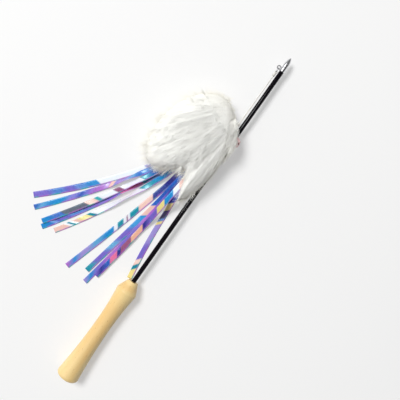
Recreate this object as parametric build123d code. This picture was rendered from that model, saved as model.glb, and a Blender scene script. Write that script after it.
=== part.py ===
from build123d import *

import os
from math import asin, cos, degrees, radians, sin, sqrt, tan

# Cat teaser wand, in millimetres. A turned wooden handle holds a slim rod, and the
# rod's metal tip has a side eye. From the eye a short cord runs back along the rod
# to a tassel of down plumes, film ribbons and a jingle bell. The origin is the centre
# of the handle's flat butt, +X runs along the wand to its tip and +Z is up.
# Angles are in degrees. Bearings turn about +Z from +X.

# Clearances
seat_gap = 0.3  # a loose or soft piece and what it rests on
glue_gap = 0.05  # glue round a fixed pin, on the radius
grip_gap = 0.1  # a cord's loop and the wire that it is tied to
lay_gap = 0.1  # the lowest ribbon and the surface
cut_overrun = 1.0  # how far a cutting solid runs past the face that it cuts

# Handle
handle_length = 121.0
butt_radius = 12.0
butt_edge_radius = 3.5
waist_radius = 8.6
waist_place = 67.0
shoulder_radius = 11.3
shoulder_place = 109.0
shoulder_edge_radius = 1.5
nose_radius = 5.6
socket_depth = 35.0

# Rod
rod_radius = 2.5
rod_exposed = 266.5

# Tip ferrule and its side eye
ferrule_wall = 0.4
ferrule_length = 17.4
ferrule_barrel = 9.0
ferrule_socket = 8.5
ferrule_point_radius = 0.7
eye_offset = 4.8  # hole centre, from the rod's axis
eye_setback = 2.8  # hole centre, from the ferrule's open end
eye_hole_radius = 1.2
eye_rim = 1.2
eye_thickness = 1.2

# Rings and cord
tip_ring_radius = 2.8  # all ring radii are to the middle of the wire
tip_ring_wire = 0.4  # all wire sizes are radii
head_ring_radius = 3.5
head_ring_wire = 0.5
head_reach = 78.5  # tip ring to head ring, along the wand
cord_radius = 0.7
knot_radius = 1.6
knot_neck_radius = 1.0
knot_length = 4.0
link_radius = 1.4
link_wire = 0.4
link_gap = 0.2  # how far a link is pulled out from the middle of its ring's wire
link_stem_radius = 0.6

# Bell
bell_radius = 6.5
bell_wall = 0.5
bell_bearing = 213.0  # round the head ring, as for the core
bell_seam_height = 0.6
bell_seam_depth = 0.35
bell_slot_width = 1.3
bell_slot_hole_radius = 1.3
bell_slot_top_share = 0.35  # height of the slots' ends below the seam, of the bell's radius
bell_rivet_radius = 1.1
bell_rivet_height = 0.4
pellet_radius = 2.2
pellet_gap = 0.1

# Tassel core
core_radius = 4.0
core_bearing = 135.0
core_stem_depth = 2.5

# Plumes: pressed together they make one flattened ball that sags on the surface.
# Each list holds the bearings, seen from the core, that divide a row of plumes.
puff_length = 124.0
puff_width = 85.0
puff_depth = 48.0  # before it sags
puff_height = 42.0  # above the surface
puff_setback = 34.0  # middle, from the core's middle, along the wand
puff_aside = 19.5  # the same, across the wand
parting_share = 0.64  # reach of the plumes that part over the ribbons
floor_plume_bearings = (20, 50, 80, 110)
left_plume_bearings = (110, 156)
parting_plume_bearings = (156, 165, 174)
right_plume_bearings = (174, 182)
rod_plume_bearings = (182, 200, 218)
upper_left_bearings = (20, 65, 110, 156)
upper_right_bearings = (174, 218)

# Ribbons, as bearing at the root, turn and length as a share of ribbon_length,
# from the lowest of the stack to the highest
ribbon_length = 217.5
ribbon_width = 5.6
ribbon_film = 0.2
ribbon_pitch = 0.35
ribbon_tuck = 1.5  # how far the roots reach past the core's middle
ribbon_fall = 50.0  # run over which the ribbons come down to the surface
ribbon_wave_run = 27.0
ribbon_wave_height = 1.0
ribbon_shares = [
    (152.6, -20.0, 0.98),
    (153.6, -15.0, 0.995),
    (158.2, -12.6, 1.0),
    (163.0, -16.6, 0.955),
    (168.0, -6.0, 1.0),
    (171.5, -3.2, 0.943),
    (174.3, -5.0, 0.99),
]
top_ribbon_shares = [(156.6, -12.0, 0.985), (176.0, -6.0, 0.93)]

# The ribbon beside the rod, below the top ribbons, whose end lies under the handle's nose
rod_side_turn = 15.0
rod_side_gap = 0.6  # its end and the rod, across the wand
rod_side_under = 2.2  # how far it reaches under the nose

# Places that follow from the sizes
floor_z = -butt_radius
ferrule_radius = rod_radius + glue_gap + ferrule_wall
ferrule_place = handle_length + rod_exposed
eye_center = Vector(ferrule_place + eye_setback, eye_offset, 0)
eye_play = eye_hole_radius - tip_ring_wire - seat_gap
tip_ring_center = eye_center - Vector(eye_play + tip_ring_radius, 0, 0)

# The bell rests on the rod, so its height sets the slope of the cord's line
bell_out = head_ring_radius + link_gap + link_radius + link_wire + bell_radius
bell_y = eye_offset + bell_out * sin(radians(bell_bearing))
bell_z = sqrt((bell_radius + bell_seam_depth + rod_radius + seat_gap) ** 2 - bell_y**2)
head_z = bell_z * head_reach / (head_reach - bell_out * cos(radians(bell_bearing)))
head_center = Vector(tip_ring_center.X - head_reach, eye_offset, head_z)
line = (head_center - tip_ring_center).normalized()
side = Vector(0, 1, 0)
head_plane = Plane(head_center, x_dir=-line, z_dir=side.cross(line))

core_out = head_ring_radius + link_gap + link_radius + link_wire + core_radius
core_center = head_plane.from_local_coords(
    Vector(core_out * cos(radians(core_bearing)), core_out * sin(radians(core_bearing)), 0)
)
bell_center = head_plane.from_local_coords(
    Vector(bell_out * cos(radians(bell_bearing)), bell_out * sin(radians(bell_bearing)), 0)
)
puff_top = floor_z + puff_height
pellet_drop = bell_radius - bell_wall - pellet_radius - pellet_gap
stack_height = (len(ribbon_shares) + len(top_ribbon_shares)) * ribbon_pitch + ribbon_film
ribbon_low = floor_z + lay_gap
ribbon_root_z = core_center.Z - core_radius - seat_gap - stack_height
rod_side_length = core_center.X - handle_length + rod_side_under
rod_side_drop = core_center.Y - rod_radius - rod_side_gap - ribbon_width / 2
rod_side_bearing = 180 + degrees(asin(rod_side_drop / rod_side_length)) - rod_side_turn / 2


def spun(outline):
    """Turn a closed outline, drawn above the X axis in the XY plane, about that axis."""
    return revolve(make_face(outline), Axis.X)


def handle():
    """Waisted handle with a conical nose, bored for the rod."""
    butt = (0, butt_radius - butt_edge_radius)
    swell = (butt_edge_radius, butt_radius)
    waist = (waist_place, waist_radius)
    shoulder = (shoulder_place, shoulder_radius)
    outline = [
        Line((0, 0), butt),
        TangentArc(swell, butt, tangent=(-1, 0)),
        TangentArc(waist, swell, tangent=(-1, 0)),
        TangentArc(waist, shoulder, tangent=(1, 0)),
        Polyline(shoulder, (handle_length, nose_radius), (handle_length, 0), (0, 0)),
    ]
    face = make_face(outline)
    rim = face.vertices().sort_by(lambda v: abs(v.X - shoulder_place))[0]
    face = fillet(rim, shoulder_edge_radius)
    bore = shaft(rod_radius + glue_gap, socket_depth + cut_overrun)
    return revolve(face, Axis.X) - Pos(handle_length - socket_depth, 0, 0) * bore


def shaft(radius, length):
    """Cylinder from the origin along +X."""
    return Rot(0, 90, 0) * Cylinder(radius, length, align=(Align.CENTER, Align.CENTER, Align.MIN))


def rod():
    """Straight rod from the bottom of the handle's bore to the bottom of the ferrule's socket."""
    start = handle_length - socket_depth + seat_gap
    end = ferrule_place + ferrule_socket - seat_gap
    return Pos(start, 0, 0) * shaft(rod_radius, end - start)


def tip_ferrule():
    """Bullet cap with a socket for the rod and a flat eye on its side."""
    barrel_end = (ferrule_barrel, ferrule_radius)
    point = (ferrule_length, ferrule_point_radius)
    cap = spun(
        [
            Polyline((0, 0), (0, ferrule_radius), barrel_end),
            TangentArc(barrel_end, point, tangent=(1, 0)),
            Polyline(point, (ferrule_length, 0), (0, 0)),
        ]
    )
    eye = Pos(eye_setback, eye_offset, 0) * Cylinder(eye_hole_radius + eye_rim, eye_thickness)
    hole = Pos(eye_setback, eye_offset, 0) * Cylinder(eye_hole_radius, eye_thickness + cut_overrun)
    socket = Pos(-cut_overrun, 0, 0) * shaft(rod_radius + glue_gap, ferrule_socket + cut_overrun)
    return Pos(ferrule_place, 0, 0) * (cap + eye - hole - socket)


def tip_ring():
    """Wire ring that hangs in the eye, upright along the wand."""
    plane = Plane(tip_ring_center, x_dir=(1, 0, 0), z_dir=side)
    return plane * Torus(tip_ring_radius, tip_ring_wire)


def knot_reach(wire):
    """Distance from a wire's middle to the cord side of the knot that is tied to it."""
    return wire + grip_gap + 2 * cord_radius + knot_length


def cord_knot(center, axis, toward, wire):
    """Loop of cord round a wire, closed by a barrel knot on the side that the cord leaves."""
    loop_radius = wire + grip_gap + cord_radius
    loop = Plane(center, x_dir=toward, z_dir=axis) * Torus(loop_radius, cord_radius)
    near = loop_radius
    far = knot_reach(wire)
    middle = ((near + far) / 2, knot_radius)
    barrel = spun(
        [
            Polyline((near, 0), (near, knot_neck_radius)),
            ThreePointArc((near, knot_neck_radius), middle, (far, knot_neck_radius)),
            Polyline((far, knot_neck_radius), (far, 0), (near, 0)),
        ]
    )
    return loop + Plane(center, x_dir=toward, z_dir=axis) * barrel


def cord():
    """Straight taut cord between the two knots."""
    tip_tie = tip_ring_center + line * (tip_ring_radius + knot_reach(tip_ring_wire))
    head_tie = head_center - line * (head_ring_radius + knot_reach(head_ring_wire))
    run = (head_tie - tip_tie).length
    print("cord length", round(run, 2))
    return Plane(tip_tie, x_dir=line, z_dir=side) * shaft(cord_radius, run)


def head_ring():
    """Wire ring that joins the cord, the bell and the core."""
    return head_plane * Torus(head_ring_radius, head_ring_wire)


def spoke(bearing, distance):
    """Frame on a spoke of the head ring: X points outward and Z up."""
    turn = Rot(0, 0, bearing) * Pos(distance, 0, 0)
    return head_plane.location * turn


def link(bearing, stem):
    """Wire eye round the head ring's wire, with a stem that points outward."""
    eye = Rot(90, 0, 0) * Torus(link_radius, link_wire)
    pin = Pos(link_radius, 0, 0) * shaft(link_stem_radius, link_wire + stem)
    return spoke(bearing, head_ring_radius + link_gap) * (eye + pin)


def core():
    """Wound binding ball with a hole for its eye's stem."""
    depth = core_stem_depth + seat_gap
    hole = Pos(-core_radius - cut_overrun, 0, 0) * shaft(link_stem_radius + glue_gap, depth + cut_overrun)
    return spoke(core_bearing, core_out) * (Sphere(core_radius) - hole)


def core_eye():
    return link(core_bearing, core_stem_depth)


def bell_half():
    """Half of the bell's shell on the +X side, with the seam's lip at its rim."""
    room = 2 * (bell_radius + bell_seam_depth)
    half = Box(room, room, room, align=(Align.MIN, Align.CENTER, Align.CENTER))
    lip = shaft(bell_radius + bell_seam_depth, bell_seam_height)
    return (Sphere(bell_radius) & half) + lip - Sphere(bell_radius - bell_wall)


def bell_cap():
    """Half shell towards the ring, pierced for the eye's stem."""
    hole = shaft(link_stem_radius + glue_gap, bell_radius + cut_overrun)
    half = Rot(0, 0, 180) * (bell_half() - hole)
    return spoke(bell_bearing, bell_out) * half


def bell_base():
    """Half shell away from the ring, with crossed slots that end in round holes."""
    start = bell_radius * bell_slot_top_share
    length = bell_radius + cut_overrun - start
    across = 2 * (bell_radius + cut_overrun)
    middle = Pos(start + length / 2, 0, 0)
    half = bell_half()
    for turn in (45, 135):
        half -= Rot(turn, 0, 0) * middle * Box(length, across, bell_slot_width)
        half -= Rot(turn, 0, 0) * Pos(start, 0, 0) * Rot(90, 0, 0) * Cylinder(bell_slot_hole_radius, across)
    return spoke(bell_bearing, bell_out) * half


def bell_eye():
    """Eye riveted through the cap."""
    rivet_top = sqrt((bell_radius - bell_wall) ** 2 - bell_rivet_radius**2) - glue_gap
    stem = bell_radius - rivet_top + bell_rivet_height
    rivet = Pos(-rivet_top, 0, 0) * shaft(bell_rivet_radius, bell_rivet_height)
    return link(bell_bearing, stem) + spoke(bell_bearing, bell_out) * rivet


def bell_pellet():
    """Loose ball at the lowest point of the bell."""
    return Pos(bell_center - Vector(0, 0, pellet_drop)) * Sphere(pellet_radius)


def puff(reach):
    """Flattened ball of plumes with a share of their full reach, with a flat base on the surface."""
    ball = scale(Sphere(1), by=(reach * puff_length / 2, reach * puff_width / 2, puff_depth / 2))
    middle = core_center + reach * Vector(-puff_setback, puff_aside, 0)
    middle.Z = puff_top - puff_depth / 2
    room = 2 * puff_length
    above = Box(room, room, room, align=(Align.CENTER, Align.CENTER, Align.MIN))
    base = Vector(middle.X, middle.Y, floor_z + seat_gap)
    return (Pos(middle) * ball) & (Pos(base) * above)


def sector(start, end, low, high):
    """Wedge between two bearings from the core, from one height to another."""
    half = radians(end - start) / 2
    nose = seat_gap / 2 / sin(half)
    flare = puff_length * tan(half)
    plan = make_face(Polyline((0, 0), (puff_length, -flare), (puff_length, flare), close=True))
    wedge = extrude(Pos(nose, 0, 0) * plan, amount=high - low, dir=(0, 0, 1))
    return Pos(core_center.X, core_center.Y, low) * Rot(0, 0, (start + end) / 2) * wedge


def under_ribbons():
    """Room of the ribbons and of what is below them."""
    top = ribbon_course(stack_height + seat_gap)
    start = top[0] @ 0
    end = top[-1] @ 1
    low = floor_z - cut_overrun
    rest = Polyline(end, (end.X, 0, low), (start.X, 0, low), start)
    return extrude(make_face(top + [rest]), amount=ribbon_length, dir=side, both=True)


def plumes():
    """All plumes, the lower ones first, each a part of a puff between two bearings."""
    whole = puff(1)
    parted = puff(parting_share)
    split = core_center.Z
    core_room = Pos(core_center) * Cylinder(core_radius + seat_gap, 2 * puff_depth)
    ribbon_room = core_room + under_ribbons()
    over_core = Pos(core_center) * Sphere(core_radius + seat_gap)
    over_rod = rod_radius + seat_gap
    below = split - seat_gap / 2
    above = split + seat_gap / 2
    rows = [
        (whole, floor_plume_bearings, floor_z, below, core_room),
        (whole, left_plume_bearings, floor_z, below, ribbon_room),
        (parted, parting_plume_bearings, floor_z, below, ribbon_room),
        (whole, right_plume_bearings, floor_z, below, ribbon_room),
        (whole, rod_plume_bearings, over_rod, below, ribbon_room),
        (whole, upper_left_bearings, above, puff_top, over_core),
        (parted, parting_plume_bearings[::2], above, puff_top, over_core),
        (whole, upper_right_bearings, above, puff_top, over_core),
    ]
    return [
        (ball & sector(start, end, low, high)) - room
        for ball, bearings, low, high, room in rows
        for start, end in zip(bearings, bearings[1:])
    ]


def ribbon_course(z_shift):
    """Side view of a ribbon: down from the core, then in low waves over the surface."""
    root_x = core_center.X + ribbon_tuck
    points = [(root_x, ribbon_root_z), (root_x - ribbon_fall, ribbon_low)]
    while points[-1][0] > root_x - ribbon_length - ribbon_wave_run:
        height = ribbon_wave_height if len(points) % 2 == 0 else 0
        points.append((points[-1][0] - ribbon_wave_run, ribbon_low + height))
    spots = [Vector(x, 0, z + z_shift) for x, z in points]
    course = []
    for start, end in zip(spots, spots[1:]):
        middle = (start + end) / 2
        course.append(TangentArc(start, middle, tangent=(-1, 0, 0)))
        course.append(TangentArc(middle, end, tangent=course[-1] % 1))
    return course


def ribbon_sheet():
    """Wide film with the ribbons' side view, from which each ribbon is cut."""
    low = ribbon_course(0)
    high = ribbon_course(ribbon_film)
    ends = [Line(low[0] @ 0, high[0] @ 0), Line(low[-1] @ 1, high[-1] @ 1)]
    return extrude(make_face(low + high + ends), amount=ribbon_length, dir=side, both=True)


def ribbon(sheet, level, heading, turn, length):
    """One strip of the film, curved in plan, at its level of the stack."""
    start = Vector(core_center.X, core_center.Y, 0)
    aim = Vector(cos(radians(heading)), sin(radians(heading)), 0)
    path = JernArc(start, aim, length / radians(abs(turn)), turn)
    strip = Pos(0, 0, floor_z - cut_overrun) * trace(path, ribbon_width)
    band = extrude(strip, amount=core_center.Z - floor_z, dir=(0, 0, 1))
    return band & Pos(0, 0, level * ribbon_pitch) * sheet


def ribbons():
    """All ribbons, from the lowest of the stack to the highest."""
    sheet = ribbon_sheet()
    low, top = (
        [(heading, turn, ribbon_length * share) for heading, turn, share in shares]
        for shares in (ribbon_shares, top_ribbon_shares)
    )
    rows = low + [(rod_side_bearing, rod_side_turn, rod_side_length)] + top
    return [ribbon(sheet, level, *row) for level, row in enumerate(rows)]


pieces = {
    "handle": handle(),
    "rod": rod(),
    "tip_ferrule": tip_ferrule(),
    "tip_ring": tip_ring(),
    "tip_knot": cord_knot(
        tip_ring_center + line * tip_ring_radius, head_plane.z_dir, line, tip_ring_wire
    ),
    "cord": cord(),
    "head_knot": cord_knot(head_center - line * head_ring_radius, side, -line, head_ring_wire),
    "head_ring": head_ring(),
    "core": core(),
    "core_eye": core_eye(),
    "bell_cap": bell_cap(),
    "bell_base": bell_base(),
    "bell_eye": bell_eye(),
    "bell_pellet": bell_pellet(),
}
pieces |= {f"plume_{number:02d}": shape for number, shape in enumerate(plumes(), 1)}
pieces |= {f"ribbon_{number}": shape for number, shape in enumerate(ribbons(), 1)}

os.makedirs("parts", exist_ok=True)
for name, shape in pieces.items():
    export_step(shape, f"parts/{name}.step")
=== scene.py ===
from math import pi, radians, tau

import bpy
import numpy as np
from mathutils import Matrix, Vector

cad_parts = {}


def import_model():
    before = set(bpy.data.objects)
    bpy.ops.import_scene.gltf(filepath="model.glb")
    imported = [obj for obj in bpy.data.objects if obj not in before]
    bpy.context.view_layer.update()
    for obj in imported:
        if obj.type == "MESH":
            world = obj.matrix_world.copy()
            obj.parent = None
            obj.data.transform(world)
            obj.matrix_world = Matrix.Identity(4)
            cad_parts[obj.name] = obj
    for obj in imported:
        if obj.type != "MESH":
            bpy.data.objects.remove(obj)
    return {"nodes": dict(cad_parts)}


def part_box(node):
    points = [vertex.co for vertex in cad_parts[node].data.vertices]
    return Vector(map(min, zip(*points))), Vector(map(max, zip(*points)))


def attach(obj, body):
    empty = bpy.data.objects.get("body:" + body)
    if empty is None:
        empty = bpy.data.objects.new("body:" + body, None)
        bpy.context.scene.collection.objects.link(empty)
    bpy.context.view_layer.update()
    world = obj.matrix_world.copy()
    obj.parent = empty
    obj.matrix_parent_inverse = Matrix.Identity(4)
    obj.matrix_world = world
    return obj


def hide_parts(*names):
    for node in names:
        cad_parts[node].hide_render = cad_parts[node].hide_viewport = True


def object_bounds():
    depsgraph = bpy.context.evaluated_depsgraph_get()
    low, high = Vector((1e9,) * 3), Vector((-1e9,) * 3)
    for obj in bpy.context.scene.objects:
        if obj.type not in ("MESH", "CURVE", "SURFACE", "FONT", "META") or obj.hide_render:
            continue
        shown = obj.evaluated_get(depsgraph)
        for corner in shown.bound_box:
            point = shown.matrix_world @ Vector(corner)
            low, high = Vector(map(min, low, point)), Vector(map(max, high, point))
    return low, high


# Looks of the cat teaser wand, in metres and in the frame of the CAD model: +X along the
# wand to its tip, +Z up. The pieces take their places from the CAD nodes.

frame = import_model()
cad_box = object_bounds()
nodes = frame["nodes"]
draw = np.random.default_rng(20)

mm = 0.001
floor_z = cad_box[0].z


# Places

def node_points(name):
    """Vertices of a CAD node, as an array of points."""
    return np.array([v.co for v in nodes[name].data.vertices])


def node_center(name):
    """Middle of a CAD node's box."""
    low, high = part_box(name)
    return np.array((low + high) / 2)


def unit(vectors):
    """Directions of vectors."""
    return vectors / np.linalg.norm(vectors, axis=-1, keepdims=True)


core_center = node_center("core")
core_radius = (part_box("core")[1].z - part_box("core")[0].z) / 2
rod_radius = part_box("rod")[1].z
rod_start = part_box("rod")[0].x
up = np.array((0.0, 0.0, 1.0))
forward = np.array((1.0, 0.0, 0.0))
steep = 0.9  # upward part of a direction, past which a tube takes its sides from forward
least = 0.1 * mm  # shortest distance that anything is divided by


# Meshes

def mesh_piece(name, vertices, faces, uv=None, flat_groups=0):
    """Smooth mesh object. faces is a list of arrays, each of faces with the same number of corners.

    The first flat_groups of the arrays keep their flat faces.
    """
    mesh = bpy.data.meshes.new(name)
    corners = np.concatenate([group.ravel() for group in faces])
    sizes = np.concatenate([np.full(len(group), group.shape[1]) for group in faces])
    mesh.vertices.add(len(vertices))
    mesh.vertices.foreach_set("co", np.asarray(vertices, np.float32).ravel())
    mesh.loops.add(len(corners))
    mesh.loops.foreach_set("vertex_index", corners.astype(np.int32))
    mesh.polygons.add(len(sizes))
    mesh.polygons.foreach_set("loop_start", (np.cumsum(sizes) - sizes).astype(np.int32))
    if uv is not None:
        layer = mesh.uv_layers.new(name="UVMap")
        layer.data.foreach_set("uv", uv[corners].astype(np.float32).ravel())
    smooth = np.repeat(np.arange(len(faces)) >= flat_groups, [len(group) for group in faces])
    mesh.polygons.foreach_set("use_smooth", smooth)
    mesh.update(calc_edges=True)
    mesh.validate()
    piece = bpy.data.objects.new(name, mesh)
    bpy.context.scene.collection.objects.link(piece)
    return piece


def tubes(paths, radii, sides):
    """Closed tubes along many paths at once, with a long edge at the bottom: vertices and faces.

    paths is an array of tubes by rings by 3, and radii has one radius per ring or per tube and ring.
    """
    count, rings, _ = paths.shape
    along = unit(np.gradient(paths, axis=1))
    aside = np.where(np.abs(along[..., 2:]) > steep, forward, up)
    first = unit(np.cross(along, aside))
    second = np.cross(along, first)
    turn = tau / 4 + np.arange(sides) * tau / sides
    spokes = first[:, :, None] * np.cos(turn)[:, None] + second[:, :, None] * np.sin(turn)[:, None]
    radii = np.broadcast_to(radii, (count, rings))
    vertices = paths[:, :, None] + spokes * radii[:, :, None, None]
    index = np.arange(count * rings * sides).reshape(count, rings, sides)
    ahead = np.roll(index, -1, axis=2)
    walls = np.stack([index[:, :-1], ahead[:, :-1], ahead[:, 1:], index[:, 1:]], axis=-1)
    caps = np.concatenate([index[:, 0, ::-1], index[:, -1]])
    return vertices.reshape(-1, 3), [walls.reshape(-1, 4), caps]


def joined(shapes):
    """One set of vertices and faces from several."""
    vertices, faces, start = [], [], 0
    for points, groups in shapes:
        vertices.append(points)
        faces += [group + start for group in groups]
        start += len(points)
    return np.concatenate(vertices), faces


# Materials

def srgb(red, green, blue):
    """Colour in linear light from 8-bit sRGB values."""
    values = np.array((red, green, blue)) / 255
    linear = np.where(values <= 0.04045, values / 12.92, ((values + 0.055) / 1.055) ** 2.4)
    return (*linear, 1.0)


black, white = (0.0, 0.0, 0.0, 1.0), (1.0, 1.0, 1.0, 1.0)


class Nodes:
    """A node tree, with short calls to add nodes."""

    def __init__(self, tree):
        self.tree = tree

    def node(self, kind, inputs=None, **settings):
        """New node. An input that is a socket is linked, and any other is set."""
        made = self.tree.nodes.new("ShaderNode" + kind)
        for key, value in settings.items():
            setattr(made, key, value)
        for key, value in (inputs or {}).items():
            if isinstance(value, bpy.types.NodeSocket):
                self.tree.links.new(value, made.inputs[key])
            else:
                made.inputs[key].default_value = value
        return made

    def math(self, operation, first, second):
        return self.node("Math", {0: first, 1: second}, operation=operation).outputs["Value"]

    def seen_directly(self):
        """Value that is 1 for what the camera, gloss and glass show, and 0 for light on the object."""
        path = self.node("LightPath").outputs
        either = self.math("MAXIMUM", path["Is Camera Ray"], path["Is Glossy Ray"])
        return self.math("MAXIMUM", either, path["Is Transmission Ray"])


class Material(Nodes):
    """A material with its Principled shader. The constants are set on the shader's own sockets."""

    def __init__(self, name, **constants):
        self.made = bpy.data.materials.new(name)
        self.made.use_nodes = True
        super().__init__(self.made.node_tree)
        self.shader = self.tree.nodes["Principled BSDF"]
        for socket, value in constants.items():
            self.shader.inputs[socket.replace("_", " ")].default_value = value

    def object_points(self, scale):
        """Coordinates on the piece, stretched by a scale per axis."""
        place = self.node("TexCoord").outputs["Object"]
        return self.node("Mapping", {"Vector": place, "Scale": scale}).outputs["Vector"]

    def noise(self, points, scale, detail=3.0):
        return self.node("TexNoise", {"Vector": points, "Scale": scale, "Detail": detail}).outputs["Fac"]

    def ramp(self, value, stops):
        """Colour ramp from a list of places and colours."""
        ramp = self.node("ValToRGB", {"Fac": value})
        elements = ramp.color_ramp.elements
        while len(elements) < len(stops):
            elements.new(1.0)
        for element, (place, color) in zip(elements, stops):
            element.position = place
            element.color = color
        return ramp.outputs["Color"]

    def span(self, value, low, high):
        """Value from 0 to 1, spread over the range from low to high."""
        return self.node("MapRange", {"Value": value, "To Min": low, "To Max": high}).outputs["Result"]

    def mix(self, share, first, second):
        return self.node("MixRGB", {"Fac": share, "Color1": first, "Color2": second}).outputs["Color"]

    def bump(self, height, distance, strength):
        made = self.node("Bump", {"Height": height, "Distance": distance, "Strength": strength})
        self.link("Normal", made.outputs["Normal"])

    def link(self, socket, output):
        self.tree.links.new(output, self.shader.inputs[socket])


def dress(name, material):
    """Give a CAD node its material."""
    mesh = nodes[name].data
    mesh.materials.clear()
    mesh.materials.append(material.made)


def finish_piece(piece, material, body, slot, *replaced):
    """Material, body and CAD nodes of a new piece; slot is not used."""
    piece.data.materials.append(material.made)
    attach(piece, body)
    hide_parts(*replaced)


def wood():
    """Pale turned wood: growth rings through the blank, fine grain, small pores and satin lacquer."""
    made = Material("pale_wood", Coat_Weight=0.2, Coat_Roughness=0.35)
    points = made.object_points((1.0, 9.0, 9.0))
    warp = made.noise(points, scale=9.0)
    blank = made.object_points((0.05, 1.0, 1.0))
    rings = made.node(
        "TexWave",
        {"Vector": blank, "Scale": 55.0, "Distortion": 2.5, "Detail": 2.0},
        wave_type="RINGS",
        rings_direction="X",
    ).outputs["Fac"]
    grain = made.noise(made.object_points((1.0, 22.0, 22.0)), scale=60.0, detail=5.0)
    pores = made.noise(made.object_points((1.0, 6.0, 6.0)), scale=260.0, detail=2.0)
    base = made.ramp(warp, [(0.3, srgb(252, 218, 150)), (0.7, srgb(255, 234, 174))])
    ringed = made.mix(made.span(rings, low=0.0, high=0.32), base, srgb(228, 172, 96))
    fine = made.mix(made.span(grain, low=0.0, high=0.4), ringed, srgb(232, 182, 108))
    spots = made.ramp(pores, [(0.66, black), (0.74, white)])
    made.link("Base Color", made.mix(made.math("MULTIPLY", spots, 0.5), fine, srgb(150, 96, 46)))
    made.link("Roughness", made.span(grain, low=0.38, high=0.55))
    made.bump(grain, distance=0.05 * mm, strength=0.5)
    return made


def black_rod():
    """Glossy black fibreglass with faint streaks along it."""
    made = Material("black_rod", Specular_IOR_Level=0.16)
    streaks = made.noise(made.object_points((1.0, 60.0, 60.0)), scale=25.0, detail=4.0)
    made.link("Base Color", made.ramp(streaks, [(0.3, srgb(7, 5, 9)), (0.75, srgb(17, 12, 20))]))
    made.link("Roughness", made.span(streaks, low=0.05, high=0.11))
    made.bump(streaks, distance=0.02 * mm, strength=0.4)
    return made


plating_shade = 14  # how much darker the turning marks are, in 8-bit levels


def plated(name, color, low, high):
    """Plated metal with fine turning marks, and a roughness between low and high."""
    made = Material(name, Metallic=1.0)
    marks = made.noise(made.object_points((40.0, 6.0, 6.0)), scale=70.0, detail=4.0)
    dark = srgb(*(level - plating_shade for level in color))
    made.link("Base Color", made.ramp(marks, [(0.3, dark), (0.7, srgb(*color))]))
    made.link("Roughness", made.span(marks, low=low, high=high))
    made.bump(marks, distance=0.01 * mm, strength=0.3)
    return made


def enamel():
    """Pale pink gloss paint on thin metal, a little uneven."""
    made = Material("pink_enamel", Coat_Weight=0.6, Coat_Roughness=0.08)
    cloud = made.noise(made.object_points((1.0, 1.0, 1.0)), scale=320.0, detail=3.0)
    made.link("Base Color", made.ramp(cloud, [(0.3, srgb(248, 196, 198)), (0.7, srgb(253, 214, 212))]))
    made.link("Roughness", made.span(cloud, low=0.22, high=0.38))
    made.bump(cloud, distance=0.03 * mm, strength=0.3)
    return made


def thread(name, light, dark):
    """Matt fibre, with fine fuzz."""
    made = Material(name, Sheen_Weight=0.2, Sheen_Roughness=0.5)
    fuzz = made.noise(made.object_points((1.0, 1.0, 1.0)), scale=2600.0, detail=3.0)
    made.link("Base Color", made.ramp(fuzz, [(0.3, srgb(*dark)), (0.7, srgb(*light))]))
    made.link("Roughness", made.span(fuzz, low=0.75, high=0.95))
    made.bump(fuzz, distance=0.05 * mm, strength=0.5)
    return made


painted_shade_from, painted_shade_to = 24 * mm, -4 * mm  # heights between which painted warm shade turns the down from white to cream


def down():
    """White down, a little different from strand to strand, with warm shade painted on as cream lower
    down.
    """
    made = Material("white_down", Sheen_Weight=0.25, Sheen_Roughness=0.4, Roughness=0.8)
    strand = made.node("NewGeometry").outputs["Random Per Island"]
    height = made.node("SeparateXYZ", {"Vector": made.node("TexCoord").outputs["Object"]}).outputs["Z"]
    limits = {"From Min": painted_shade_from, "From Max": painted_shade_to}
    # Painted shade: lower down the strands turn cream, standing in for the warm shade under the ball
    painted_shade = made.node("MapRange", {"Value": height, **limits}).outputs["Result"]
    pale = made.ramp(strand, [(0.0, srgb(250, 250, 246)), (1.0, srgb(255, 255, 252))])
    made.link("Base Color", made.mix(made.math("MULTIPLY", painted_shade, 0.6), pale, srgb(253, 248, 233)))
    return made


# Handle, rod, tip and bell

steel = plated("ring_steel", (206, 206, 210), 0.2, 0.32)
dress("handle", wood())
dress("rod", black_rod())
dress("tip_ferrule", plated("bright_tip", (232, 232, 235), 0.18, 0.26))
pink = enamel()
for name in ("bell_cap", "bell_base"):
    dress(name, pink)
for name in ("tip_ring", "head_ring", "core_eye", "bell_eye", "bell_pellet"):
    dress(name, steel)


# Cord and knots

cord_diameter = 1.4 * mm
tie_run = 6 * cord_diameter  # straight stretch at each end of the cord
cord_resolution = 60  # points on each stretch of its route
braid_strands = 8
braid_pitch = 5 * mm
braid_relief = 0.12  # depth between the strands, of the radius
knot_turns = 4
knot_gap = 0.9 * mm  # from the loop to the barrel of turns
knot_run = 3.3 * mm  # length of the barrel
knot_radius, knot_swell = 0.85 * mm, 0.3 * mm  # of the barrel at its ends, and what its middle adds
knot_tail = 0.6 * mm  # of the legs, past the barrel
turn_share, leg_share = 0.62, 0.9  # thickness of the turns and of the legs, of the cord's
loop_points, coil_points, leg_points = 49, 97, 13
cord_sides, turn_sides = 24, 14


def end_centers(name):
    """Middles of the two ends of a straight CAD tube, the end nearer the wand's tip first."""
    points = node_points(name)
    middle = points[:, 0].mean()
    return points[points[:, 0] > middle].mean(axis=0), points[points[:, 0] < middle].mean(axis=0)


def spline_points(name, route, resolution):
    """Points along a NURBS spline that has the route as its control points."""
    curve = bpy.data.curves.new(name, "CURVE")
    curve.dimensions = "3D"
    spline = curve.splines.new("NURBS")
    spline.points.add(len(route) - 1)
    for point, place in zip(spline.points, route):
        point.co = (*place, 1.0)
    spline.order_u = 3
    spline.use_endpoint_u = True
    spline.resolution_u = resolution
    guide = bpy.data.objects.new(name, curve)
    mesh = bpy.data.meshes.new_from_object(guide)
    points = np.array([v.co for v in mesh.vertices])
    bpy.data.objects.remove(guide)
    bpy.data.curves.remove(curve)
    bpy.data.meshes.remove(mesh)
    return points


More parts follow.
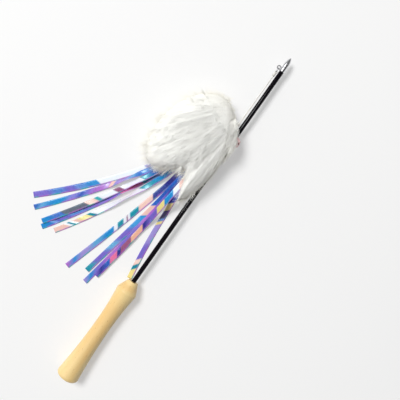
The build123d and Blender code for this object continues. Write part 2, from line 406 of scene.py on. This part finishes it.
def braided(path, radius, sides=cord_sides):
    """Tube with the crossing strands of a round braid as relief."""
    vertices, faces = tubes(path[None], radius, sides)
    run = np.concatenate([[0], np.cumsum(np.linalg.norm(np.diff(path, axis=0), axis=1))])
    turn = np.arange(sides) * tau / sides
    left = np.cos(braid_strands / 2 * (turn + run[:, None] / braid_pitch * tau))
    right = np.cos(braid_strands / 2 * (turn - run[:, None] / braid_pitch * tau))
    height = 1 - braid_relief + braid_relief * np.maximum(left, right)
    rings = vertices.reshape(len(path), sides, 3)
    rings = path[:, None] + (rings - path[:, None]) * height[..., None]
    return rings.reshape(-1, 3), faces


def knot(ring, along, axis, wire_radius):
    """Loop of cord round a ring's wire, with a barrel of turns over the two legs."""
    radius = cord_diameter / 2
    loop_radius = wire_radius + radius
    swing = np.linspace(0, tau, loop_points)[:, None]
    side = np.cross(axis, along)
    loop = ring + loop_radius * (along * np.cos(swing) + side * np.sin(swing))
    barrel_start = loop_radius + knot_gap
    coil = np.linspace(0, 1, coil_points)[:, None]
    spin = coil * knot_turns * tau
    swell = knot_radius + knot_swell * np.sin(coil * pi)
    middle = ring + along * (barrel_start + knot_run * coil)
    barrel = middle + swell * (axis * np.cos(spin) + side * np.sin(spin))
    legs_end = barrel_start + knot_run + knot_tail
    legs = ring + along * np.linspace(loop_radius, legs_end, leg_points)[:, None]
    return joined([
        braided(loop, radius),
        braided(barrel, turn_share * radius, turn_sides),
        braided(legs, leg_share * radius),
    ])


white_cord = thread("white_cord", (250, 249, 245), (224, 221, 212))
tip_end, head_end = end_centers("cord")
line = unit(head_end - tip_end)
cord_route = [tip_end, tip_end + line * tie_run, head_end - line * tie_run, head_end]
cord_path = spline_points("cord_route", cord_route, cord_resolution)
braid = mesh_piece("braided_cord", *braided(cord_path, cord_diameter / 2))
finish_piece(braid, white_cord, "tassel", "white_cord", "cord")

tip_ring_center = node_center("tip_ring")
head_ring_center = node_center("head_ring")
tip_ring_radius = (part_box("tip_ring")[1].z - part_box("tip_ring")[0].z) / 2
head_ring_radius = (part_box("head_ring")[1].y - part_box("head_ring")[0].y) / 2
tip_wire = (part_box("tip_ring")[1].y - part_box("tip_ring")[0].y) / 2  # radius of the ring's wire
head_wire = 0.5 * mm
tie_gap = 0.1 * mm  # between the wire and the loop of cord
cross = np.array((0.0, 1.0, 0.0))
lift = unit(np.cross(cross, line))
tip_knot = mesh_piece(
    "tip_cord_knot",
    *knot(tip_ring_center + line * (tip_ring_radius - tip_wire), line, lift, tip_wire + tie_gap),
)
head_knot = mesh_piece(
    "head_cord_knot",
    *knot(head_ring_center - line * (head_ring_radius - head_wire), -line, cross, head_wire + tie_gap),
)
finish_piece(tip_knot, white_cord, "tassel", "white_cord", "tip_knot")
finish_piece(head_knot, white_cord, "tassel", "white_cord", "head_knot")


# Core: a ball of binding thread

winding_axes = unit(np.array([(1.0, 0.3, 0.2), (-0.2, 1.0, 0.4), (0.3, -0.4, 1.0)]))
winding_width = 0.35  # of the ball's radius
winding_rate = 46  # radians of the threads' wave across the ball's radius
thread_height = 0.35 * mm
thread_low = 0.6  # height between two threads, of a winding's


def wound_ball(center, radius, rows=72, columns=96):
    """Ball whose surface shows three windings of thread laid over each other."""
    tilt = np.linspace(0, pi, rows)[:, None]
    turn = np.linspace(0, tau, columns, endpoint=False)
    parts = (np.sin(tilt) * np.cos(turn), np.sin(tilt) * np.sin(turn), np.cos(tilt))
    out = np.stack(np.broadcast_arrays(*parts), -1)
    relief = np.zeros(out.shape[:2])
    for axis in winding_axes:
        height = out @ axis
        band = np.exp(-((height / winding_width) ** 2))
        threads = thread_low + (1 - thread_low) * np.cos(height * winding_rate)
        relief = np.maximum(relief, band * threads)
    points = center + out * (radius - thread_height + thread_height * relief)[..., None]
    index = np.arange(rows * columns).reshape(rows, columns)
    ahead = np.roll(index, -1, axis=1)
    walls = np.stack([index[:-1], index[1:], ahead[1:], ahead[:-1]], axis=-1)
    return points.reshape(-1, 3), [walls.reshape(-1, 4)]


binding = thread("binding_thread", (244, 240, 228), (214, 208, 192))
ball = mesh_piece("wound_core", *wound_ball(core_center, core_radius))
finish_piece(ball, binding, "tassel", "binding_thread", "core")


# Plumes: strands of down that lie over one flattened ball, swept back from the wand's tip

plume_nodes = [f"plume_{number:02d}" for number in range(1, 15)]
puff_half = np.array((124.0, 85.0, 48.0)) / 2 * mm
puff_middle = np.max([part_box(name)[1] for name in plume_nodes], axis=0) - puff_half
bell_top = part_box("bell_cap")[1].z
bell_radius = bell_top - node_center("bell_cap")[2]
bell_center = node_center("bell_cap")
sweep_source = core_center[:2] + np.array((45.0, -12.0)) * mm  # the strands fan out from here

strand_rings, strand_sides = 8, 3
strand_taper = 0.7  # power of the strands' thinning: less keeps them thick for longer
strand_radius = 0.09 * mm
strand_tip_radius = 0.02 * mm
strand_length = (24 * mm, 48 * mm)
strand_area = 2.4 * mm**2  # of the ball's plan, for each strand on it
strands_per_lock = 16
lock_scatter = (1.2 * mm, 2.0 * mm, 1.4 * mm)  # of the roots, middles and tips of strands in one lock
tuft_scatter = (0.6 * mm, 1.2 * mm, 2.3 * mm)
wave_height, wave_turns = 0.45 * mm, 1.5
root_room = 0.97  # furthest that a root lies, of the way back to the rim
root_level = 0.93  # height of the roots, of the ball's
lay_rise, loose_rise = 0.4 * mm, 4.0 * mm
tip_rise = (0.1, 1)  # root of the share of the rise that a tip takes
fuzz_length, fuzz_rise = (7 * mm, 16 * mm), 2.5 * mm
fuzz_radius = 0.06 * mm
tuft_length = (5 * mm, 11 * mm)
strands_per_tuft = 12
tuft_rise = (0.2, 0.8)  # how far tufts stand up
tuft_lean = 0.8  # how far they lean with the sweep
tuft_stray = 0.25
tuft_bow = 0.35  # how far their middles bend outward, of half their length
wand_side = (radians(185), radians(315))  # bearings where tufts stand straight up, clear of rod and bell

# How far out the tips and tufts of a plume lie, of the way from the core to the outline
rim_reach = 0.9
laid_reach, loose_reach, lock_reach = (0.0, 1.05), (0.3, 1.1), (0.3, 1.12)
fuzz_reach, rim_tuft_reach, top_tuft_reach = (0.85, 1.08), (rim_reach, 1.0), (0.2, rim_reach)

# Number of laid strands for each one of the other kinds
laid_per_loose, laid_per_lock, laid_per_fuzz = 4, 24, 2
laid_per_rim_tuft, laid_per_top_tuft = 25, 60

fold_room = 3 * mm  # for the ribbons under the ball
fold_bearing, fold_blend = radians(88), radians(22)  # where they begin, and the blend to full room
stand_off = 7 * mm  # the most that strands stand above the ball
rod_clear = 0.3 * mm
bell_clear = 0.6 * mm
front_bearing = radians(290)  # the side of the ring and the bell, which the ball covers only in part
front_spread, front_blend = radians(102), radians(42)
front_share = 0.78  # of the outline there
front_after, front_before = radians(200), radians(30)  # upper plumes past these reach round to the front
parting_bearing = radians(167)  # where the ball parts over the ribbons
parting_left, parting_right = radians(16), radians(11)
parting_depth = 0.42  # of the way from the outline to the core
parting_onset = 1.2  # how late the ball draws in, on the way from the core to the rim
rod_side_bearing, rod_side_spread = radians(208), radians(20)
rod_side_draw = 0.3
base_bearing, base_blend = radians(20), radians(45)  # where the lower plumes begin, and their blend
base_onset = 0.4  # the same blend on the way from the core to the rim
body_share = 0.96  # height of the inner body, of the ball's
body_thickness = 1.0 * mm  # at its thinnest
body_rows, body_start = 34, 0.02  # from the core to the rim, and where the first row lies
upper_levels, lower_levels = (0.1, 1.0), (-1.0, 0.3)  # of its two faces, in the ball
base_room = 3.5 * mm  # height of the inner body above the lowest strands
base_relief = 6  # how much higher its ridges are underneath
base_round = 2.0 * mm  # how softly the ball's side turns into its flat base
body_step = radians(0.35)
rim_rays = 50  # bearings at which a plume's plan is measured
plume_overlap = radians(3)
outer_reach = 2  # core radii past which the points of a CAD plume show where it begins and ends

# Ridges of the inner body: height, number per turn about the source, and drift with distance
relief_waves = [(0.16 * mm, 61, 40.0), (0.12 * mm, 113, -70.0), (0.10 * mm, 197, 110.0)]


def toward(bearing):
    """Direction in plan of a bearing, counted from +X."""
    return np.stack([np.cos(bearing), np.sin(bearing)], -1)


def bearing_from(place, plan):
    """Bearing of points in plan, seen from a place, from 0 to a full turn."""
    return np.arctan2(plan[..., 1] - place[1], plan[..., 0] - place[0]) % tau


def rim_distance(plan, aim):
    """Distance from a place inside the ball's outline to the outline, in plan."""
    start = (plan - puff_middle[:2]) / puff_half[:2]
    ahead = aim / puff_half[:2]
    square = (ahead**2).sum(-1)
    along = (ahead * start).sum(-1)
    inside = np.maximum(1 - (start**2).sum(-1), 0)
    return (np.sqrt(along**2 + square * inside) - along) / square


def plan_at(aim, reach):
    """Place in plan at a share of the way from the core to the ball's outline."""
    return core_center[:2] + aim * (reach * rim_distance(core_center[:2], aim))[..., None]


def on_ball(plan, level):
    """Point above a place in plan, from the ball's base at level -1 to its top at level 1.

    The plan draws in where the ball parts over the ribbons, beside the rod and at the front. The lower
    face sets out from the ball's middle height, by the core and where the lower plumes begin, and the
    front stays above the bell.
    """
    bearing = bearing_from(core_center, plan)
    offset = plan - core_center[:2]
    far = np.linalg.norm(offset, axis=-1) / rim_distance(core_center[:2], toward(bearing))
    short = np.clip(np.maximum(1 - (bearing - base_bearing) / base_blend, 1 - far / base_onset), 0, 1)
    level = np.where(level < 0, level * np.sqrt(1 - short**2), level)
    share = (((plan - puff_middle[:2]) / puff_half[:2]) ** 2).sum(-1)
    height = puff_middle[2] + level * puff_half[2] * np.sqrt(np.clip(1 - share, 0, 1))
    from_front = np.abs((bearing - front_bearing + pi) % tau - pi)
    front = np.clip((front_spread - from_front) / front_blend, 0, 1)
    height = np.maximum(height, floor_z + front * (bell_top + bell_clear - floor_z))
    past = bearing - parting_bearing
    fall = np.where(past < 0, (past / parting_left) ** 2, (past / parting_right) ** 4)
    parting = parting_depth * np.exp(-fall)
    by_rod = rod_side_draw * np.exp(-(((bearing - rod_side_bearing) / rod_side_spread) ** 2))
    drawn = np.maximum(parting, by_rod) * np.minimum(far, 1) ** parting_onset
    extent = (1 - drawn) * (1 - (1 - front_share) * front)
    settled = core_center[:2] + extent[..., None] * offset
    return np.concatenate([settled, height[..., None]], -1)


def clear_of_wand(points, low):
    """Points moved out of what lies below, out of the rod and out of the bell.

    They stay above low and, where the ribbons pass under the ball, above these too.
    """
    fold = np.clip((bearing_from(core_center, points) - fold_bearing) / fold_blend, 0, 1)
    low = np.maximum(low, floor_z + fold_room * fold)
    above = points[..., 2] - low
    soft = base_round * (low < 0)  # the lower plumes alone lie on the floor
    settled = low + (above + np.sqrt(above**2 + 4 * soft**2)) / 2
    points[..., 2] = np.minimum(settled, cad_box[1].z + stand_off)
    room = rod_radius + rod_clear
    from_axis = np.linalg.norm(points[..., 1:], axis=-1)
    inside = (from_axis < room) & (points[..., 0] > rod_start)
    push = np.where(inside, room / np.maximum(from_axis, least), 1.0)
    points[..., 1:] *= push[..., None]
    offset = points - bell_center
    from_bell = np.linalg.norm(offset, axis=-1)
    push = np.maximum((bell_radius + bell_clear) / np.maximum(from_bell, least), 1.0)
    return bell_center + offset * push[..., None]


def strand_set(count, bearings, side, reaches, rise, source=sweep_source, lengths=strand_length):
    """Root, middle and tip of strands that lie on the ball, swept back from the source.

    side is 1 on the upper face and -1 on the lower one, and the tips stand off the face by up to rise.
    """
    aim = toward(draw.uniform(*bearings, count))
    reach = np.sqrt(draw.uniform(*np.square(reaches), count))
    tip_plan = plan_at(aim, reach)
    lie = unit(tip_plan - source)
    room = root_room * rim_distance(tip_plan, -lie)
    length = np.minimum(draw.uniform(*lengths, count), room)[:, None]
    level = np.full(count, side)
    root = on_ball(tip_plan - lie * length, root_level * level)
    middle = on_ball(tip_plan - lie * length / 2, level)
    tip = on_ball(tip_plan, level)
    tip[:, 2] += side * rise * draw.uniform(*tip_rise, count) ** 2
    return np.stack([root, middle, tip], axis=1)


def outward(points):
    """Directions that stand up from the ball."""
    return unit((points - puff_middle) / puff_half**2)


def tuft_set(count, bearings, side, reaches):
    """Root, middle and tip of the leaders of tufts that stand up from the ball."""
    bearing = draw.uniform(*bearings, count) % tau
    aim = toward(bearing)
    reach = draw.uniform(*reaches, count)
    plan = plan_at(aim, reach)
    root = on_ball(plan, side * np.where(reach > rim_reach, draw.uniform(0, 1, count), body_share))
    lie = np.pad(unit(plan - sweep_source), ((0, 0), (0, 1)))
    by_wand = (bearing > wand_side[0]) & (bearing < wand_side[1])
    out = np.where(by_wand[:, None], up, outward(root))
    rise = draw.uniform(*tuft_rise, (count, 1))
    stray = draw.normal(size=(count, 3)) * tuft_stray
    way = unit(out * rise + lie * tuft_lean + stray)
    length = draw.uniform(*tuft_length, (count, 1))
    middle = root + (way + tuft_bow * out) * length / 2
    return np.stack([root, middle, root + way * length], axis=1)


def bunched(leaders, count, scatter):
    """Bunches of strands about each leader."""
    strands = np.repeat(leaders, count, axis=0)
    return strands + draw.normal(size=strands.shape) * np.array(scatter)[:, None]


def strand_paths(ends, low):
    """Smooth strands through the pull of root, middle and tip, with a slight wave."""
    share = np.linspace(0, 1, strand_rings)[:, None]
    root, middle, tip = (ends[:, k, None] for k in range(3))
    paths = root * (1 - share) ** 2 + middle * 2 * share * (1 - share) + tip * share**2
    sway = unit(draw.normal(size=(len(ends), 1, 3)))
    phase = draw.uniform(0, tau, (len(ends), 1, 1))
    waved = paths + sway * wave_height * share * np.sin(share * wave_turns * tau + phase)
    return clear_of_wand(waved, low + draw.uniform(0, base_room, (len(ends), 1)))


def slab(top, bottom):
    """Closed solid between two grids of points, the same in plan."""
    rows, columns, _ = top.shape
    index = np.arange(rows * columns).reshape(rows, columns)
    flats = np.stack([index[:-1, :-1], index[:-1, 1:], index[1:, 1:], index[1:, :-1]], -1).reshape(-1, 4)
    border = np.concatenate([index[0, :-1], index[:-1, -1], index[-1, :0:-1], index[:0:-1, 0]])
    beyond = np.roll(border, -1)
    below = rows * columns
    edges = np.stack([border, border + below, beyond + below, beyond], -1)
    points = np.concatenate([top.reshape(-1, 3), bottom.reshape(-1, 3)])
    return points, [flats[:, ::-1], flats + below, edges[:, ::-1]]


def lock_relief(plan):
    """Low ridges that follow the lie of the strands."""
    lie = bearing_from(sweep_source, plan)
    far = np.linalg.norm(plan - sweep_source, axis=-1)
    return sum(height * np.sin(count * lie + drift * far) for height, count, drift in relief_waves)


def plume_body(bearings, sides, low):
    """Soft inner form of a plume, between two levels of the ball."""
    columns = int((bearings[1] - bearings[0]) / body_step)
    reaches = np.sin(np.linspace(body_start, 1, body_rows) * pi / 2)
    bearing, reach = np.meshgrid(np.linspace(*bearings, columns), reaches)
    plan = plan_at(toward(bearing), reach)
    deep, high = (on_ball(plan, np.full(bearing.shape, body_share * side)) for side in sides)
    relief = lock_relief(plan)
    high[..., 2] = np.maximum(high[..., 2] + relief, deep[..., 2] + body_thickness)
    return slab(clear_of_wand(high, low), clear_of_wand(deep, low + base_relief * relief))


def plume(name, material):
    """Down plume: a soft inner body with strands and locks laid on it, fuzz along the rim, and tufts."""
    flat = node_points(name) - core_center
    outer = flat[np.linalg.norm(flat[:, :2], axis=1) > outer_reach * core_radius]
    turns = np.arctan2(outer[:, 1], outer[:, 0]) % tau
    first, last = turns.min(), turns.max()
    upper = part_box(name)[0].z > core_center[2]
    if upper and first < front_before:
        first = front_bearing - tau
    if upper and last > front_after:
        last = front_bearing
    low = rod_radius + rod_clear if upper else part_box(name)[0].z
    side = 1.0 if upper else -1.0
    bearings = (first - plume_overlap, last + plume_overlap)
    rays = np.linspace(*bearings, rim_rays)
    area = np.mean(rim_distance(core_center[:2], toward(rays)) ** 2) / 2 * (bearings[1] - bearings[0])
    count = int(area / strand_area)
    laid = strand_set(count, bearings, side, laid_reach, lay_rise)
    loose = strand_set(count // laid_per_loose, bearings, side, loose_reach, loose_rise)
    leaders = strand_set(count // laid_per_lock, bearings, side, lock_reach, lay_rise)
    fuzz_count = count // laid_per_fuzz
    fuzz = strand_set(fuzz_count, bearings, side, fuzz_reach, fuzz_rise, core_center[:2], fuzz_length)
    rim_tufts = tuft_set(count // laid_per_rim_tuft, bearings, side, rim_tuft_reach)
    top_tufts = tuft_set(count // laid_per_top_tuft, bearings, side, top_tuft_reach)
    locks = bunched(leaders, strands_per_lock, lock_scatter)
    tufts = bunched(np.concatenate([rim_tufts, top_tufts]), strands_per_tuft, tuft_scatter)
    taper = np.linspace(1, 0, strand_rings) ** strand_taper
    fine = np.concatenate([loose, fuzz, tufts])
    full = np.repeat((strand_radius, fuzz_radius), (len(laid) + len(locks), len(fine)))[:, None]
    radii = strand_tip_radius + (full - strand_tip_radius) * taper
    strands = tubes(strand_paths(np.concatenate([laid, locks, fine]), low), radii, strand_sides)
    body = plume_body((first, last), upper_levels if upper else lower_levels, low + base_room)
    piece = mesh_piece(f"down_{name}", *joined([strands, body]), flat_groups=len(strands[1]))
    finish_piece(piece, material, "tassel", "white_down", name)


white_down = down()
for name in plume_nodes:
    plume(name, white_down)


# Ribbons

film_thickness = 0.12 * mm
film_gap = 0.25 * mm  # between a ribbon and what it lies on
film_step = 1.5 * mm  # between two rows of points along a ribbon
film_columns = 7
lay_rows = 9  # rows to each side over which a ribbon's height is smoothed
fall_run = 50 * mm  # over which it comes down from the core
crease_height = 0.7 * mm
crease_spread = (0.5, 1.3)  # of the height of single creases
tint_share = 0.08  # of the drifting tint over the bands
fringe_share = 0.75  # of the tint at one edge

palette = {
    "violet": srgb(130, 106, 208),
    "blue": srgb(44, 98, 196),
    "cyan": srgb(14, 142, 214),
    "sky": srgb(96, 166, 214),
    "teal": srgb(10, 150, 168),
    "indigo": srgb(50, 40, 140),
    "magenta": srgb(186, 112, 210),
    "lavender": srgb(164, 146, 216),
    "peach": srgb(255, 208, 190),
    "orange": srgb(250, 188, 150),
    "rose": srgb(240, 112, 156),
    "yellow": srgb(252, 232, 136),
    "white": srgb(246, 248, 252),
    "slate": srgb(104, 106, 114),
    "mauve": srgb(120, 102, 146),
    "sea": srgb(60, 186, 188),
    "plum": srgb(158, 82, 116),
}
cool_colors = ("violet", "blue", "cyan", "sky", "teal", "indigo", "magenta", "lavender")
cool_blend, sharp_blend = 0.022, 0.003  # half the run of a change, between cool colours and others

# Bands of a ribbon's colour, from its root to its end: share of its length and colour
film_bands = {
    1: [
        (0.0, "white"), (0.36, "lavender"), (0.43, "white"), (0.68, "cyan"), (0.74, "blue"),
        (0.80, "violet"), (0.85, "blue"), (0.92, "violet"),
    ],
    2: [
        (0.0, "blue"), (0.46, "sky"), (0.51, "lavender"), (0.575, "peach"), (0.60, "magenta"),
        (0.69, "violet"), (0.73, "blue"), (0.765, "violet"), (0.82, "cyan"), (0.93, "sky"),
        (0.965, "blue"),
    ],
    3: [
        (0.0, "blue"), (0.42, "teal"), (0.48, "rose"), (0.60, "violet"), (0.79, "blue"),
        (0.87, "violet"), (0.93, "blue"), (0.965, "cyan"),
    ],
    4: [
        (0.0, "cyan"), (0.44, "teal"), (0.52, "white"), (0.797, "teal"), (0.82, "yellow"),
        (0.873, "peach"), (0.903, "white"), (0.915, "teal"), (0.93, "white"), (0.944, "peach"),
    ],
    5: [
        (0.0, "indigo"), (0.454, "peach"), (0.543, "teal"), (0.598, "white"), (0.612, "plum"),
        (0.62, "white"), (0.639, "teal"), (0.676, "white"), (0.70, "cyan"), (0.77, "sky"),
        (0.84, "lavender"), (0.92, "cyan"), (0.965, "magenta"),
    ],
    6: [
        (0.0, "blue"), (0.53, "peach"), (0.602, "cyan"), (0.70, "violet"), (0.79, "sky"),
        (0.86, "violet"), (0.955, "teal"),
    ],
    7: [
        (0.0, "indigo"), (0.40, "violet"), (0.48, "magenta"), (0.60, "violet"), (0.75, "magenta"),
        (0.85, "violet"), (0.925, "cyan"), (0.968, "lavender"),
    ],
    8: [
        (0.0, "peach"), (0.40, "violet"), (0.47, "indigo"), (0.515, "yellow"), (0.565, "indigo"),
        (0.574, "mauve"), (0.621, "blue"), (0.639, "yellow"), (0.66, "lavender"), (0.79, "violet"),
        (0.89, "peach"), (0.925, "teal"), (0.955, "yellow"),
    ],
    9: [
        (0.0, "blue"), (0.43, "teal"), (0.47, "white"), (0.58, "plum"), (0.616, "white"),
        (0.698, "sea"), (0.721, "peach"), (0.773, "slate"), (0.90, "blue"), (0.96, "cyan"),
    ],
    10: [
        (0.0, "peach"), (0.345, "white"), (0.39, "cyan"), (0.458, "yellow"), (0.517, "violet"),
        (0.593, "indigo"), (0.635, "orange"), (0.722, "plum"), (0.80, "indigo"), (0.828, "rose"),
        (0.881, "blue"), (0.922, "indigo"), (0.97, "violet"),
    ],
}

# Slant of a ribbon's bands and creases, as the share of its length that they run in crossing it
film_skews = {
    1: 0.02, 2: -0.03, 3: 0.03, 4: 0.04, 5: -0.02,
    6: 0.03, 7: -0.025, 8: 0.03, 9: 0.025, 10: -0.03,
}

# Where a ribbon turns up on its edge: share of its length, run of the turn and angle in degrees
film_rolls = {2: (0.53, 0.07, 62), 3: (0.57, 0.07, 55), 4: (0.60, 0.1, 62), 9: (0.5, 0.05, 40)}
no_roll = (0.5, 0.1, 0)


def band_stops(bands):
    """Stops of a colour ramp: each band keeps its colour, and cool colours run into each other."""
    stops = [(0.0, palette[bands[0][1]])]
    for (_, before), (place, color) in zip(bands, bands[1:]):
        blend = cool_blend if before in cool_colors and color in cool_colors else sharp_blend
        stops += [(place - blend, palette[before]), (place + blend, palette[color])]
    return stops


def film(number):
    """Glossy film that shows a different colour on each of its flats."""
    made = Material(
        f"iridescent_film_{number}",
        Specular_IOR_Level=0.4,
        Coat_Weight=0.15,
        Coat_Roughness=0.15,
        Thin_Film_Thickness=420.0,
        Thin_Film_IOR=1.5,
    )
    uv = made.node("UVMap").outputs["UV"]
    parts = made.node("SeparateXYZ", {"Vector": uv}).outputs
    slant = {0: parts["Y"], 1: film_skews[number], 2: parts["X"]}
    skewed = made.node("Math", slant, operation="MULTIPLY_ADD").outputs["Value"]
    bands = made.ramp(skewed, band_stops(film_bands[number]))
    stretched = made.node("Mapping", {"Vector": uv, "Scale": (14.0, 1.2, 1.0)}).outputs["Vector"]
    drift = made.noise(stretched, scale=1.0, detail=2.0)
    tint = made.ramp(drift, [(0.35, palette["violet"]), (0.5, palette["blue"]), (0.65, palette["cyan"])])
    tinted = made.mix(tint_share, bands, tint)
    edge = made.ramp(parts["Y"], [(0.74, black), (0.86, white)])
    fringe = made.ramp(drift, [(0.5, palette["magenta"]), (0.6, palette["sea"])])
    made.link("Base Color", made.mix(made.math("MULTIPLY", edge, fringe_share), tinted, fringe))
    crinkle = made.noise(made.object_points((1.0, 1.0, 1.0)), scale=420.0, detail=2.0)
    made.link("Roughness", made.span(crinkle, low=0.2, high=0.36))
    made.bump(crinkle, distance=0.05 * mm, strength=0.4)
    return made


def ribbon_plan(name):
    """Plan of a CAD ribbon: bearing at the root, its change with distance, length and half width."""
    flat = node_points(name)[:, :2] - core_center[:2]
    flat = flat[np.linalg.norm(flat, axis=1) > fall_run]
    distance = np.linalg.norm(flat, axis=1)
    bearing = np.arctan2(flat[:, 1], flat[:, 0]) % tau
    slope, root = np.polyfit(distance, bearing, 1)
    aside = distance * np.sin(bearing - root - slope * distance)
    return root, slope, distance.max(), np.abs(aside).max()


class Pile:
    """Heights of what lies on the surface so far, on a grid of the floor."""

    cell = 1.0 * mm

    def __init__(self):
        self.heights = {}

    def keys(self, points):
        """Cells of the grid that points lie in."""
        return [tuple(k) for k in np.floor(points[:, :2] / self.cell).astype(int)]

    def under(self, points):
        """Greatest height so far in the cells of some points."""
        return max(self.heights.get(k, floor_z) for k in self.keys(points))

    def lay(self, points):
        """Add points to the heights."""
        for key, height in zip(self.keys(points), points[:, 2]):
            self.heights[key] = max(self.heights.get(key, floor_z), height)


def draped(low):
    """Smooth heights along a ribbon that stay above the given ones."""
    highest = np.array([low[max(0, k - lay_rows): k + lay_rows + 1].max() for k in range(len(low))])
    kernel = np.hanning(2 * lay_rows + 3)[1:-1]
    padded = np.pad(highest, lay_rows, mode="edge")
    return np.convolve(padded, kernel / kernel.sum(), mode="valid")


def ribbon(number, pile):
    """Strip of film with flats between slanted creases, laid on what is below it: slab and UV."""
    name = f"ribbon_{number}"
    root_bearing, slope, length, half_width = ribbon_plan(name)
    count = int(length / film_step) + 1
    run = np.linspace(0, length, count)
    bearing = root_bearing + slope * run
    plan = core_center[:2] + run[:, None] * toward(bearing)
    ahead = unit(np.gradient(plan, axis=0))
    aside = np.stack([-ahead[:, 1], ahead[:, 0]], -1)
    across = np.linspace(-1, 1, film_columns)
    spots = plan[:, None] + aside[:, None] * (across * half_width)[:, None]
    low = draped(np.array([pile.under(row) for row in spots]) + film_gap)
    root_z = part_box(name)[1].z
    ease = np.clip(run / fall_run, 0, 1)
    height = low + (root_z - low) * (1 - ease**2 * (3 - 2 * ease))
    places = np.array([0.0] + [band[0] for band in film_bands[number][1:]] + [1.0])
    heights = np.where(np.arange(len(places)) % 2 == 0, 0.0, crease_height)
    tents = heights * draw.uniform(*crease_spread, len(places))
    skewed = run[:, None] / length + film_skews[number] * (across + 1) / 2
    fold = np.interp(skewed, places, tents) * ease[:, None]
    place, spread, angle = film_rolls.get(number, no_roll)
    roll = radians(angle) * np.exp(-(((run / length - place) / spread) ** 2))[:, None]
    spots = plan[:, None] + aside[:, None] * (across * half_width * np.cos(roll))[..., None]
    edge = half_width * (across * np.sin(roll) + np.abs(np.sin(roll)))
    points = np.concatenate([spots, (height[:, None] + fold + edge)[..., None]], axis=-1)
    top = points + up * film_thickness
    pile.lay(top.reshape(-1, 3))
    shares = np.stack(np.broadcast_arrays(run[:, None] / length, (across + 1) / 2), -1).reshape(-1, 2)
    return *slab(top, points), np.concatenate([shares, shares])


pile = Pile()
for number in sorted(film_bands):
    tape = mesh_piece(f"film_ribbon_{number}", *ribbon(number, pile))
    finish_piece(tape, film(number), "tassel", "iridescent_film", f"ribbon_{number}")


# Studio

wand_middle = (0.22, 0.0, 0.0)
floor_half = 4.0
floor_dark, floor_light = (0.90, 0.90, 0.895, 1.0), (0.915, 0.915, 0.91, 1.0)
floor_glow = 0.4  # share of plain white in what the camera sees of the floor by the wand
floor_near, floor_far = 0.34, 1.3  # distances from the wand over which it turns all white
key_place, key_size, key_power = (0.54, 1.12, 2.22), 0.95, 55.0
room_low, room_high = 0.06, 0.36  # light from the room, on its dim and its bright side
horizon = 0.4  # height of the white walls, as the upward part of the direction to their edge
camera_place, camera_turn = (0.2303, -0.0075, 0.502), radians(-54.78)
camera_lens, camera_sensor = 43.45, 36.0


def floor():
    """Pale floor, which looks a little nearer to white than it is."""
    made = Material("pale_floor", Roughness=0.9)
    glow = made.node("Emission", {"Color": white, "Strength": 1.0}).outputs["Emission"]
    place = made.node("TexCoord").outputs["Object"]
    below_wand = (*wand_middle[:2], floor_z)
    away = made.node("VectorMath", {0: place, 1: below_wand}, operation="DISTANCE").outputs["Value"]
    limits = {"From Min": floor_near, "From Max": floor_far, "To Min": floor_glow, "To Max": 1.0}
    glowing = made.node("MapRange", {"Value": away, **limits}).outputs["Result"]
    share = made.math("MULTIPLY", made.seen_directly(), glowing)
    plain = made.shader.outputs["BSDF"]
    shown = made.node("MixShader", {"Fac": share, 1: plain, 2: glow}).outputs["Shader"]
    made.tree.links.new(shown, made.tree.nodes["Material Output"].inputs["Surface"])
    cloud = made.noise(made.object_points((1.0, 1.0, 1.0)), scale=3.0)
    made.link("Base Color", made.ramp(cloud, [(0.3, floor_dark), (0.7, floor_light)]))
    corners = np.array([(-1, -1, 0), (1, -1, 0), (1, 1, 0), (-1, 1, 0)]) * floor_half + up * floor_z
    piece = mesh_piece("floor", corners, [np.array([[0, 1, 2, 3]])])
    piece.data.materials.append(made.made)


def lamp(name, place, aim, size, power):
    """Round soft lamp at a place, turned to an aim."""
    light = bpy.data.lights.new(name, "AREA")
    light.shape = "DISK"
    light.size = size
    light.energy = power
    holder = bpy.data.objects.new(name, light)
    holder.location = place
    holder.rotation_euler = (Vector(aim) - Vector(place)).to_track_quat("-Z", "Y").to_euler()
    bpy.context.scene.collection.objects.link(holder)


def world():
    """Even white room, dimmer on the side away from the window.

    The camera sees it white all over, and gloss shows its walls white.
    """
    made = bpy.data.worlds.new("studio")
    made.use_nodes = True
    room = Nodes(made.node_tree)
    parts = room.node("SeparateXYZ", {"Vector": room.node("TexCoord").outputs["Generated"]}).outputs
    sides = {"From Min": -1.0, "To Min": room_low, "To Max": room_high}
    light = room.node("MapRange", {"Value": parts["Y"], **sides}).outputs["Result"]
    heights = {"From Max": horizon, "To Min": 1.0, "To Max": 0.0}
    wall = room.node("MapRange", {"Value": parts["Z"], **heights}).outputs["Result"]
    seen = room.math("MULTIPLY", wall, room.seen_directly())
    shown = room.math("MAXIMUM", seen, room.node("LightPath").outputs["Is Camera Ray"])
    background = room.tree.nodes["Background"]
    background.inputs["Color"].default_value = white
    room.tree.links.new(room.math("MAXIMUM", light, shown), background.inputs["Strength"])
    bpy.context.scene.world = made


def camera():
    """Camera straight above the wand, turned so that it runs from lower left to upper right."""
    data = bpy.data.cameras.new("camera")
    data.sensor_width = camera_sensor
    data.lens = camera_lens
    holder = bpy.data.objects.new("camera", data)
    holder.location = camera_place
    holder.rotation_euler = (0, 0, camera_turn)
    bpy.context.scene.collection.objects.link(holder)
    bpy.context.scene.camera = holder


floor()
lamp("key", key_place, wand_middle, key_size, key_power)
world()
camera()
bpy.context.scene.view_settings.view_transform = "Standard"
